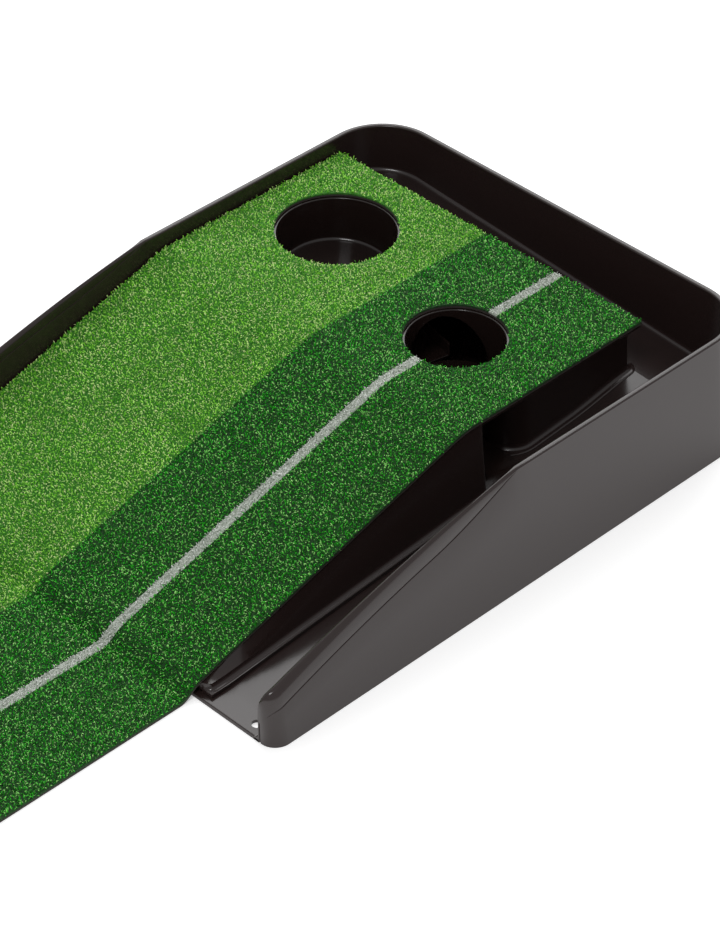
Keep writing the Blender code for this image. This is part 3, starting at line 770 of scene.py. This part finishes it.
def arched_cutter(name: str, centre: tuple[float, float], reach: float, facing: float, width: float,
                  low: float, high: float) -> bpy.types.Object:
    """A block with an arched top that cuts a ball mouth through a cup's wall.

    Args:
        name: the cutter's name.
        centre: the cup's centre.
        reach: how far the cutter goes out from the centre.
        facing: plan direction in degrees.
        width: width of the mouth.
        low: lower edge.
        high: top of the arch.

    Returns:
        The cutter.
    """
    turn = np.linspace(0.0, np.pi / 2, 12)
    spring = low + 0.15 * (high - low)
    right = np.stack([width / 2 * np.cos(turn), spring + (high - spring) * np.sin(turn)], axis=-1)
    outline = np.concatenate([[[width / 2, low]], right, right[::-1] * [-1, 1], [[-width / 2, low]]])
    spin = math.radians(facing)
    along, across = np.array([math.cos(spin), math.sin(spin)]), np.array([-math.sin(spin), math.cos(spin)])
    rings = []
    for distance in (0.004, reach):
        plan = np.array(centre) + along * distance + across * outline[:, :1]
        rings.append(np.column_stack([plan, outline[:, 1]]))
    sections = np.stack(rings)
    return swept_tube(name, sections, bpy.data.materials[0])


# ------------------------------------------------------------------ ramp and deck
@dataclass
class DeckUnit:
    """The ramp's flared skirt, the deck's foot and the return chute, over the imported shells."""

    at: Layout
    tray: Tray
    gap_front: float = 0.190
    gap_rear: float = 0.144
    skirt_inset: float = 0.012
    corner: float = 0.022
    clear: float = 0.0004

    def flared(self, name: str, plan: np.ndarray, ways: np.ndarray, top: np.ndarray, reach: np.ndarray,
               radius: float, thick: float, material: bpy.types.Material) -> bpy.types.Object:
        """A skirt that leans out to its foot, with a concave fillet and a thin foot edge.

        Args:
            name: the piece's name.
            plan: upper line of the skirt in plan, shape (stations, 2).
            ways: outward directions, same shape.
            top: height of the upper line.
            reach: how far the foot stands out.
            radius: radius of the concave fillet above the foot.
            thick: height of the foot's edge.
            material: the finish.

        Returns:
            The new object.
        """
        feet = plan + ways * reach[:, None]
        floor = self.tray.floor_height(feet[:, 0], feet[:, 1]) + self.clear
        radius = np.minimum(radius, 0.7 * reach)
        knee = floor + thick + radius
        out, rise = [], []
        for share in (0.0, 0.5, 1.0):
            out.append((reach - radius - 0.0008) * share)
            rise.append(top + (knee - top) * share)
        for angle in np.linspace(0.0, np.pi / 2, 8)[1:]:
            out.append(reach - 0.0008 - radius * np.cos(angle))
            rise.append(knee - radius * np.sin(angle))
        out += [reach, reach, np.full_like(top, -0.0008), np.full_like(top, -0.0008)]
        rise += [floor + thick - 0.0006, floor, floor, top]
        out, rise = np.stack(out, axis=1), np.stack(rise, axis=1)
        place = plan[:, None, :] + ways[:, None, :] * out[..., None]
        return swept_tube(name, np.concatenate([place, rise[..., None]], axis=-1), material)

    def ramp_skirt(self, material: bpy.types.Material) -> bpy.types.Object:
        """Skirt of the ramp in the channel, rounded in plan at its front end."""
        at = self.at
        front, rear = at.rear - at.nose, at.rear - self.gap_front
        bend = 0.006 * (1 - np.cos(np.linspace(0.0, np.pi / 2, 9)))
        y = np.concatenate([front + bend, np.linspace(front + 0.008, rear - 0.004, 60),
                            rear - bend[::-1][2:] * 0.5])
        ahead = np.clip((y - front) / 0.006, 0.0, 1.0)
        behind = np.clip((rear - y) / 0.003, 0.0, 1.0)
        rounding = 0.75 + 0.25 * np.sqrt(1 - (1 - behind) ** 2)
        reach = 0.0015 + 0.0115 * np.sqrt(1.0 - (1.0 - ahead) ** 2) * rounding
        plan = np.stack([np.full_like(y, at.right - 0.0009), y], axis=-1)
        ways = np.tile([1.0, 0.0], (len(y), 1))
        top = at.deck_line(y, at.deck_height) - 0.0006
        return self.flared("ramp_skirt", plan, ways, top, reach, 0.0045, 0.0035, material)

    def deck_foot(self, material: bpy.types.Material) -> bpy.types.Object:
        """Flared foot of the deck's box: rear corner, right side, rounded front corner, front."""
        at, radius = self.at, self.corner
        right = at.right - self.skirt_inset
        front, rear = at.rear - self.gap_rear, at.rear - 0.0035
        turn = np.linspace(np.pi / 2, 0.0, 9)
        sharp = 0.0012
        back = np.stack([right - sharp + sharp * np.cos(turn), rear - sharp + sharp * np.sin(turn)], axis=-1)
        side_y = np.linspace(rear - sharp, front + radius, 30)[1:-1]
        side = np.stack([np.full_like(side_y, right), side_y], axis=-1)
        sweep = np.linspace(0.0, -np.pi / 2, 19)
        corner = np.stack([right - radius + radius * np.cos(sweep),
                           front + radius + radius * np.sin(sweep)], axis=-1)
        plan = np.concatenate([back, side, corner])
        angles = np.concatenate([turn, np.zeros(len(side)), sweep])
        ways = np.stack([np.cos(angles), np.sin(angles)], axis=-1)
        top = np.full(len(plan), at.deck_height - 0.0034)
        return self.flared("deck_foot", plan, ways, top, np.full(len(plan), 0.0085), 0.0075, 0.0006, material)

    def chute(self, material: bpy.types.Material) -> bpy.types.Object:
        """Chute under the passage: level under the cups, then a smooth step to the channel."""
        at = self.at
        low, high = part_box("return_chute")
        cols = np.concatenate([np.linspace(low.x, at.right - 0.012, 24),
                               np.linspace(at.right - 0.011, at.right + 0.0085, 26)])
        rows = np.linspace(low.y, high.y, 16)
        x, y = np.meshgrid(cols, rows)
        floor = self.tray.floor_height(x, y) + self.clear
        upper = 0.0302 + 0.05 * np.clip(at.right - 0.0223 - x, 0.0, None)
        share = np.clip((at.right + 0.0085 - x) / 0.018, 0.0, 1.0)
        share = share * share * (3.0 - 2.0 * share)
        top = floor + np.maximum(upper - floor, 0.0006) * share + 0.0004
        under = np.where(x < at.right - 0.0225, top - 0.002, floor)
        place = np.stack([x, y], axis=-1)
        return slab("return_chute_shell", np.concatenate([place, top[..., None]], axis=-1),
                    np.concatenate([place, np.minimum(under, top - 0.0003)[..., None]], axis=-1), material)

    def build(self, plastic: bpy.types.Material, smooth: bpy.types.Material) -> None:
        """Build the shells and the pieces over them."""
        for node, name, width, extra in (("ramp", "ramp_shell", 0.0007, self.ramp_skirt),
                                         ("cup_deck", "cup_deck_shell", 0.0006, self.deck_foot)):
            shell = softened_copy(node, name, plastic, width)
            for piece in (shell, extra(plastic)):
                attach(piece, "deck")
                log.info("%s: %d faces", piece.name, len(piece.data.polygons))
        # smooth is the cup plastic, whose darker colour is painted shade for the chute and the tunnel trough
        # under the deck.
        chute = self.chute(smooth)
        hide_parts("return_chute")
        trough = softened_copy("ball_tunnel", "ball_tunnel_trough", smooth, 0.0005)
        for piece in (chute, trough):
            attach(piece, "deck")


# ------------------------------------------------------------------ turf mat
@dataclass
class TurfMat:
    """The mat: backing sheet, pile ground of each lane and the fibres."""

    at: Layout
    drop_run: float = 0.021
    spacing: float = 0.00152
    reach: float = 0.0027
    width: float = 0.00036
    cell: float = 0.012
    ground_high: float = 0.0016
    root_depth: float = 0.0009
    tone_spread: float = 0.36
    tone_middle: float = 0.45
    seed: int = 7

    def under(self, y: np.ndarray) -> np.ndarray:
        """Height of the mat's underside.

        Level on the deck, a parabola over the crest, the even slope of the ramp, and a Hermite
        curve from the ramp's nose down to the ground.
        """
        at = self.at
        back = at.rear - y
        level = at.deck_height + at.seam
        ramp = at.deck_line(y, level)
        nose_height = level - at.slope * (at.nose - at.crest)
        t = np.clip((back - at.nose) / self.drop_run, 0.0, 1.0)
        fall = nose_height * (2 * t ** 3 - 3 * t ** 2 + 1) - at.slope * self.drop_run * (t ** 3 - 2 * t ** 2 + t)
        return np.where(back <= at.nose, ramp, fall)

    def rows(self, front: float, rear: float) -> np.ndarray:
        """Stations along the mat, close together where it bends."""
        crest, nose = self.at.rear - self.at.crest, self.at.rear - self.at.nose
        ys = np.concatenate([np.linspace(front, rear, 90), crest + np.linspace(-0.02, 0.02, 17),
                             nose - np.linspace(-0.002, self.drop_run + 0.002, 19)])
        ys = np.unique(ys[(ys >= front) & (ys <= rear)])
        return ys[np.append(True, np.diff(ys) > 1e-5)]

    def sheet(self, name: str, x_range: tuple[float, float], y_range: tuple[float, float],
              low: float, high: float, material: bpy.types.Material) -> bpy.types.Object:
        """A layer of the mat between two lifts above its underside."""
        ys = self.rows(*y_range)
        xs = np.linspace(x_range[0], x_range[1], max(2, int((x_range[1] - x_range[0]) / self.cell) + 2))
        x, y = np.meshgrid(xs, ys)
        z = self.under(y)
        return slab(name, np.stack([x, y, z + high], axis=-1), np.stack([x, y, z + low], axis=-1), material)

    def punch(self, piece: bpy.types.Object, grow: float, cups: list) -> bpy.types.Object:
        """Cut the cup holes."""
        for centre, radius in cups:
            cut(piece, upright_drum("hole", centre, radius + grow, 0.06, 0.16))
        return piece

    def fibres(self, name: str, x_range: tuple[float, float], y_range: tuple[float, float],
               material: bpy.types.Material, bias: float, rng: np.random.Generator) -> bpy.types.Object:
        """Curled fibres on a stretch of a lane.

        Each fibre is a ribbon that rises from its root, then leans over to a point in a
        direction of its own. Roots stand on a jittered grid, and none stands over a cup.

        Args:
            name: the piece's name.
            x_range: left and right limits of the roots.
            y_range: front and rear limits of the roots.
            material: the finish.
            bias: shift of the fibres' tone.
            rng: random source.

        Returns:
            The new object.
        """
        columns = max(1, round((x_range[1] - x_range[0]) / self.spacing))
        lines = max(1, round((y_range[1] - y_range[0]) / self.spacing))
        i, j = np.meshgrid(np.arange(columns), np.arange(lines), indexing="ij")
        x = x_range[0] + (i + rng.random(i.shape)) * (x_range[1] - x_range[0]) / columns
        y = y_range[0] + (j + rng.random(j.shape)) * (y_range[1] - y_range[0]) / lines
        x, y = x.ravel(), y.ravel()
        keep = np.ones(len(x), bool)
        for centre, radius in (self.at.large, self.at.small):
            keep &= np.hypot(x - centre[0], y - centre[1]) > radius + 0.0004
        x, y = x[keep], y[keep]
        count = len(x)
        step = 1e-4
        slant = (self.under(y + step) - self.under(y - step)) / (2 * step)
        cosine = 1.0 / np.sqrt(1.0 + slant ** 2)
        normal = np.stack([np.zeros(count), -slant * cosine, cosine], axis=-1)
        uphill = np.stack([np.zeros(count), cosine, slant * cosine], axis=-1)
        sideways = np.tile([1.0, 0.0, 0.0], (count, 1))
        turn = rng.random(count) * 2 * np.pi
        twist = turn + rng.normal(0.0, 0.9, count)
        lean = rng.uniform(0.35, 1.0, count)
        height = self.at.pile * rng.uniform(0.62, 1.0, count)
        bow = rng.normal(0.0, 0.35, count) * self.reach
        along = sideways * np.cos(turn)[:, None] + uphill * np.sin(turn)[:, None]
        across = sideways * -np.sin(turn)[:, None] + uphill * np.cos(turn)[:, None]
        edge = (sideways * -np.sin(twist)[:, None] + uphill * np.cos(twist)[:, None]) * self.width
        base = np.stack([x, y, self.under(y)], axis=-1) + normal * (self.at.backing + self.root_depth)
        middle = base + along * (0.38 * self.reach * lean)[:, None]
        middle += normal * (0.78 * height - self.root_depth)[:, None]
        middle += across * (0.5 * bow)[:, None]
        droop = height * rng.uniform(0.55, 1.0, count)
        tip = base + along * (self.reach * lean)[:, None] + normal * (droop - self.root_depth)[:, None]
        tip += across * bow[:, None]
        size = rng.uniform(0.75, 1.25, count)[:, None]
        points = np.stack([base - edge * size, base + edge * size, middle + edge * size * 1.2,
                           middle - edge * size * 1.2, tip], axis=1).reshape(-1, 3)
        start = np.arange(count)[:, None] * 5
        loops = np.concatenate([start + [0, 1, 2, 3], start + [3, 2, 4]], axis=1)
        tone = np.clip(rng.normal(self.tone_middle + bias, self.tone_spread, count), 0.0, 1.0)
        # rise is 0 at the root and 1 at the tip; the shader uses it to paint shade towards the root.
        rise = np.tile([0.0, 0.0, 0.8, 0.8, 1.0], count)
        return self.ribbons(name, points, loops, np.repeat(tone, 5), rise, material)

    def ribbons(self, name: str, points: np.ndarray, loops: np.ndarray, tone: np.ndarray, rise: np.ndarray,
                material: bpy.types.Material) -> bpy.types.Object:
        """Put many fibres, each a quad and a triangle, and their attributes into one mesh."""
        mesh = bpy.data.meshes.new(name)
        mesh.vertices.add(len(points))
        mesh.vertices.foreach_set("co", points.astype(np.float32).ravel())
        mesh.loops.add(loops.size)
        mesh.loops.foreach_set("vertex_index", loops.astype(np.int32).ravel())
        mesh.polygons.add(2 * len(loops))
        starts = np.arange(len(loops))[:, None] * 7 + [0, 4]
        mesh.polygons.foreach_set("loop_start", starts.astype(np.int32).ravel())
        mesh.update(calc_edges=True)
        for label, values in (("tone", tone), ("rise", rise)):
            layer = mesh.attributes.new(label, "FLOAT", "POINT")
            layer.data.foreach_set("value", values.astype(np.float32))
        mesh.shade_smooth()
        mesh.materials.append(material)
        return in_scene(name, mesh)

    def build(self, backing_finish: bpy.types.Material, grounds: dict[Turf, bpy.types.Material],
              piles: dict[Turf, bpy.types.Material]) -> None:
        """Build the backing, the pile ground of each lane and the tiles of fibres.

        Args:
            backing_finish: the backing's finish.
            grounds: finish of the pile ground, by kind of turf.
            piles: finish of the fibres, by kind of turf.
        """
        at = self.at
        rng = np.random.default_rng(self.seed)
        cups = [at.large, at.small]
        span = (at.front_end, at.rear)
        backing = self.sheet("mat_sheet", (at.left, at.right), span, 0.0, at.backing, backing_finish)
        self.punch(backing, 0.0, cups)
        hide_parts("mat_backing")
        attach(backing, "mat")
        centre, radius = at.small
        lanes = [("fast_turf", (at.left, at.band), span, [at.large], Turf.FAST, 0.08, 6),
                 ("slow_turf_inner", (at.band, at.line[0]), span, [at.small], Turf.SLOW, 0.0, 3),
                 ("slow_turf_outer", (at.line[1], at.right), span, [at.small], Turf.SLOW, 0.0, 3),
                 ("aim_line_front", at.line, (at.front_end, centre[1] - radius), [at.small], Turf.LINE, 0.0, 1),
                 ("aim_line_rear", at.line, (centre[1] + radius, at.rear), [at.small], Turf.LINE, 0.0, 1)]
        low = at.backing + at.seam / 2
        for node, x_range, y_range, holes, kind, bias, tiles in lanes:
            ground = self.sheet(node + "_ground", x_range, y_range, low,
                                at.backing + self.ground_high, grounds[kind])
            self.punch(ground, 0.0002, holes)
            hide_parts(node)
            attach(ground, "mat")
            cuts = np.linspace(y_range[0], y_range[1], tiles + 1)
            for index in range(tiles):
                tuft = self.fibres("%s_fibres_%d" % (node, index), x_range, (cuts[index], cuts[index + 1]),
                                   piles[kind], bias, rng)
                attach(tuft, "mat")
                log.info("%s: %d fibres", tuft.name, len(tuft.data.polygons) // 2)


# ------------------------------------------------------------------ studio
@dataclass
class Studio:
    """Pale floor, soft lights and the camera, which looks at the mat's rear right corner."""

    at: Layout
    azimuth: float = 45.26
    elevation: float = 38.4
    roll: float = 0.07
    eye_from_corner: tuple[float, float, float] = (1.50973, -1.82407, 1.81387)
    lens: float = 136.69

    def camera(self) -> None:
        """Place the camera."""
        azimuth, elevation, roll = map(math.radians, (self.azimuth, self.elevation, self.roll))
        ahead = Vector((-math.sin(azimuth) * math.cos(elevation), math.cos(azimuth) * math.cos(elevation),
                        -math.sin(elevation)))
        right = Vector((math.cos(azimuth), math.sin(azimuth), 0.0))
        up = right.cross(ahead)
        side = right * math.cos(roll) + up * math.sin(roll)
        top = up * math.cos(roll) - right * math.sin(roll)
        data = bpy.data.cameras.new("camera")
        data.lens = self.lens
        data.sensor_width = 36.0
        data.clip_end = 50.0
        view = in_scene("camera", data)
        turn = Matrix((side, top, -ahead)).transposed()
        eye = Vector((self.at.right, self.at.rear, 0.0)) + Vector(self.eye_from_corner)
        view.matrix_world = Matrix.Translation(eye) @ turn.to_4x4()
        bpy.context.scene.camera = view

    def softbox(self, name: str, way: tuple[float, float, float], distance: float, size: float, glow: float,
                aim: Vector) -> None:
        """A square area light of a given brightness, in a direction from the object."""
        data = bpy.data.lights.new(name, "AREA")
        data.size = size
        data.energy = glow * math.pi * size * size
        lamp = in_scene(name, data)
        direction = Vector(way).normalized()
        lamp.location = aim + direction * distance
        lamp.rotation_mode = "QUATERNION"
        lamp.rotation_quaternion = direction.to_track_quat("Z", "Y")

    def floor(self) -> None:
        """A pale floor, faintly luminous so that it stays white round the object's shadow."""
        material, shader = blank_material("studio_floor")
        shader.inputs["Base Color"].default_value = (0.93, 0.93, 0.93, 1.0)
        shader.inputs["Roughness"].default_value = 0.9
        shader.inputs["Emission Color"].default_value = (1.0, 1.0, 1.0, 1.0)
        shader.inputs["Emission Strength"].default_value = 0.38
        size = 12.0
        mesh = bpy.data.meshes.new("studio_floor")
        corners = ((-size, -size), (size, -size), (size, size), (-size, size))
        mesh.from_pydata([(x, y, -0.0002) for x, y in corners], [], [(0, 1, 2, 3)])
        mesh.materials.append(material)
        in_scene("studio_floor", mesh)

    def build(self) -> None:
        """Set up the view, the light and the floor."""
        scene = bpy.context.scene
        scene.view_settings.view_transform = "Standard"
        world = bpy.data.worlds.new("studio")
        world.use_nodes = True
        background = world.node_tree.nodes["Background"]
        background.inputs["Color"].default_value = (1.0, 1.0, 1.0, 1.0)
        background.inputs["Strength"].default_value = 0.55
        scene.world = world
        aim = Vector((0.0, 1.1, 0.05))
        self.softbox("back_softbox", (-0.50, 0.62, 0.70), 3.4, 3.0, 2.5, aim)
        self.softbox("key_softbox", (0.22, -0.42, 0.88), 3.4, 0.8, 13.0, aim)
        self.floor()
        self.camera()


def main() -> None:
    """Build every piece and report it."""
    logging.basicConfig(level=logging.INFO, format="%(name)s: %(message)s")
    at = Layout()
    black = MouldedPlastic("tray_plastic", (0.0205, 0.0125, 0.0115)).build()
    # The cup plastic is a darker, glossier copy of the tray plastic; its darker colour is painted shade for the
    # cups, tunnel and chute, which sit in hollows.
    cup_shade_black = MouldedPlastic("cup_plastic", (0.0130, 0.0078, 0.0068), 0.12, 0.20).build()
    backing = WovenTextile("backing_rubber", (0.020, 0.014, 0.012), (0.05, 0.04, 0.035), 1200.0).build()
    # The first colour of each fibre finish is painted shade at the foot of the pile, and also the darkest fibre
    # tone.
    piles = {
        Turf.FAST: TurfFibre("fast_fibre", (0.060, 0.330, 0.012), (0.380, 0.980, 0.070),
                             (0.88, 1.0, 0.46)).build(),
        Turf.SLOW: TurfFibre("slow_fibre", (0.003, 0.100, 0.001), (0.026, 0.640, 0.012),
                             (0.50, 1.0, 0.30)).build(),
        Turf.LINE: TurfFibre("line_fibre", (0.34, 0.38, 0.32), (0.88, 0.90, 0.86),
                             (0.97, 0.98, 0.96)).build(),
    }
    grounds = {
        Turf.FAST: WovenTextile("fast_ground", (0.008, 0.060, 0.003), (0.05, 0.26, 0.016), 700.0).build(),
        Turf.SLOW: WovenTextile("slow_ground", (0.001, 0.016, 0.001), (0.005, 0.07, 0.004), 700.0).build(),
        Turf.LINE: WovenTextile("line_ground", (0.20, 0.24, 0.18), (0.6, 0.64, 0.58), 700.0).build(),
    }
    tray = Tray(at)
    tray.build(black)
    DeckUnit(at, tray).build(black, cup_shade_black)
    centre, radius = at.large
    small, small_radius = at.small
    tunnel = math.degrees(math.atan2(small[1] - centre[1], small[0] - centre[0]))
    top = at.deck_height - 0.0003
    Cup("large_cup_liner", "large_cup", centre, radius, top, 0.0475, 0.067, tunnel).build(
        cup_shade_black, [arched_cutter("mouth", centre, radius + 0.01, tunnel, 0.046, 0.044, 0.0877)])
    Cup("small_cup_liner", "small_cup", small, small_radius, top, 0.0385, 0.040, -60.0).build(
        cup_shade_black, [arched_cutter("mouth", small, small_radius + 0.01, facing, width, low, 0.0877)
                    for facing, width, low in ((tunnel + 180 - 16, 0.072, 0.0400), (-90, 0.046, 0.0368),
                                               (-45, 0.046, 0.0368))])
    hook = WovenTextile("hook_tape", (0.006, 0.006, 0.007), (0.03, 0.03, 0.032), 1500.0).build()
    for node in ("hook_strip_rear", "hook_strip_crest", "hook_strip_nose"):
        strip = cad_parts[node]
        strip.data.materials.clear()
        strip.data.materials.append(hook)
    TurfMat(at).build(backing, grounds, piles)
    Studio(at).build()


if __name__ == "__main__":
    main()
